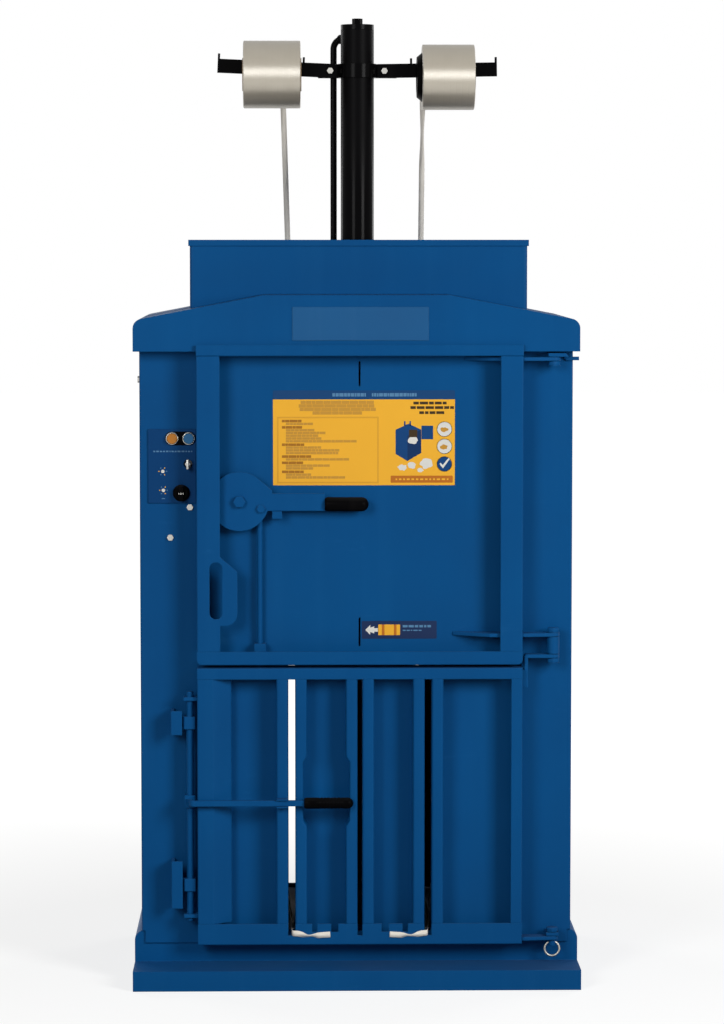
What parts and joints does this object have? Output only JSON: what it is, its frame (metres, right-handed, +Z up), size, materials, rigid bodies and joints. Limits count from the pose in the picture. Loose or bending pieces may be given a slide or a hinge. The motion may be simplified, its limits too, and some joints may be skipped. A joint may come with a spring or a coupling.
{
  "type": "vertical recycling baler",
  "caption": "Upright steel press that packs waste into taped bales, with a feed door over a slotted bale door, a ram on top and two tape reels.",
  "frame": {"origin": "on the floor, in the middle of the base", "axes": "+Z up, doors face -Y, +X to the right as seen from the front"},
  "size_m": [1, 0.65, 2.174],
  "materials": {
    "blue_paint": "semi-gloss blue powder coat",
    "black_paint": "gloss black paint",
    "zinc_steel": "bright zinc plate",
    "bare_steel": "ground bare steel",
    "nylon_pad": "plain nylon",
    "tape_cloth": "woven cream strapping",
    "card_tube": "plain brown board",
    "black_plastic": "smooth black moulding",
    "orange_plastic": "smooth orange moulding",
    "blue_plastic": "smooth blue moulding",
    "grey_plastic": "grey moulded case"
  },
  "bodies": {
    "frame": {"base_frame": "blue_paint", "left_column": "blue_paint", "right_column": "blue_paint", "chamber_walls": "blue_paint", "chamber_floor": "blue_paint", "back_wall": "blue_paint", "hood": "blue_paint", "crosshead": "blue_paint", "housing_shell": "blue_paint", "housing_lid": "blue_paint", "power_pack": "grey_plastic", "cylinder_barrel": "black_paint", "cylinder_cap": "black_paint", "oil_pipe": "black_paint", "reel_arms": "black_paint", "reel_arm_clamp": "black_paint", "tape_guide_bar": "zinc_steel", "left_tape_run": "tape_cloth", "right_tape_run": "tape_cloth", "hinge_brackets": "blue_paint", "hinge_pins": "blue_paint", "lock_keepers": "blue_paint", "control_panel": "blue_paint", "button_bezels": "zinc_steel", "control_box": "grey_plastic", "hex_bolts": "zinc_steel"},
    "platen": {"platen": "blue_paint", "piston_rod": "bare_steel", "platen_guide_pads": "nylon_pad"},
    "left_reel": {"left_tape_roll": "tape_cloth", "left_roll_core": "card_tube"},
    "right_reel": {"right_tape_roll": "tape_cloth", "right_roll_hub": "black_plastic"},
    "feed_door": {"feed_door_rails": "blue_paint", "feed_left_stile": "blue_paint", "feed_right_stile": "blue_paint", "feed_panel": "blue_paint", "feed_hinge_arms": "blue_paint", "feed_latch_fittings": "blue_paint"},
    "feed_latch": {"feed_latch_lever": "blue_paint", "feed_latch_grip": "black_plastic"},
    "lift_rod": {"feed_lift_rod": "blue_paint"},
    "bale_door": {"bale_door_rails": "blue_paint", "bale_left_plate": "blue_paint", "bale_right_stile": "blue_paint", "bale_sheet": "blue_paint", "bale_slot_bars": "blue_paint", "bale_hinge_arms": "blue_paint", "lever_clip": "blue_paint", "lock_bearings": "blue_paint", "left_tape_end": "tape_cloth", "right_tape_end": "tape_cloth"},
    "bale_lock": {"lock_shaft": "blue_paint", "lock_lever": "blue_paint", "lock_grip": "black_plastic"},
    "orange_button": {"orange_button": "orange_plastic"},
    "blue_button": {"blue_button": "blue_plastic"},
    "selector": {"selector_knob": "black_plastic"},
    "key": {"switch_key": "zinc_steel"}
  },
  "joints": [
    {"name": "feed_door_hinge", "type": "hinge", "parent": "frame", "child": "feed_door", "pos_m": [0.44, -0.245, 1.1], "axis": [0, 0, 1], "range_deg": [0, 180]},
    {"name": "bale_door_hinge", "type": "hinge", "parent": "frame", "child": "bale_door", "pos_m": [0.44, -0.245, 0.4], "axis": [0, 0, 1], "range_deg": [0, 180]},
    {"name": "feed_latch_turn", "type": "hinge", "parent": "feed_door", "child": "feed_latch", "pos_m": [-0.261, -0.248, 1.089], "axis": [0, -1, 0], "range_deg": [0, 60]},
    {"name": "lift_rod_slide", "type": "slide", "parent": "feed_door", "child": "lift_rod", "axis": [0, 0, 1], "range_m": [0, 0.0497]},
    {"name": "bale_lock_turn", "type": "hinge", "parent": "bale_door", "child": "bale_lock", "pos_m": [-0.373, -0.25, 0.417], "axis": [0, 0, -1], "range_deg": [0, 100]},
    {"name": "orange_button_press", "type": "slide", "parent": "frame", "child": "orange_button", "axis": [0, 1, 0], "range_m": [0, 0.004], "stiffness_N_per_m": 600},
    {"name": "blue_button_press", "type": "slide", "parent": "frame", "child": "blue_button", "axis": [0, 1, 0], "range_m": [0, 0.004], "stiffness_N_per_m": 600},
    {"name": "selector_turn", "type": "hinge", "parent": "frame", "child": "selector", "pos_m": [-0.391, -0.23, 1.106], "axis": [0, -1, 0], "range_deg": [0, 90]},
    {"name": "key_turn", "type": "hinge", "parent": "frame", "child": "key", "pos_m": [-0.376, -0.23, 1.171], "axis": [0, -1, 0], "range_deg": [0, 90]},
    {"name": "left_reel_spin", "type": "hinge", "parent": "frame", "child": "left_reel", "pos_m": [-0.1885, 0.045, 2.04694], "axis": [1, 0, 0], "continuous": true},
    {"name": "right_reel_spin", "type": "hinge", "parent": "frame", "child": "right_reel", "pos_m": [0.215, 0.045, 2.04103], "axis": [1, 0, 0], "continuous": true},
    {"name": "platen_slide", "type": "slide", "parent": "frame", "child": "platen", "axis": [0, 0, -1], "range_m": [0, 0.62]}
  ],
  "couplings": [
    {"joint": "lift_rod_slide", "follows": "feed_latch_turn", "m_per_rad": 0.0474}
  ]
}
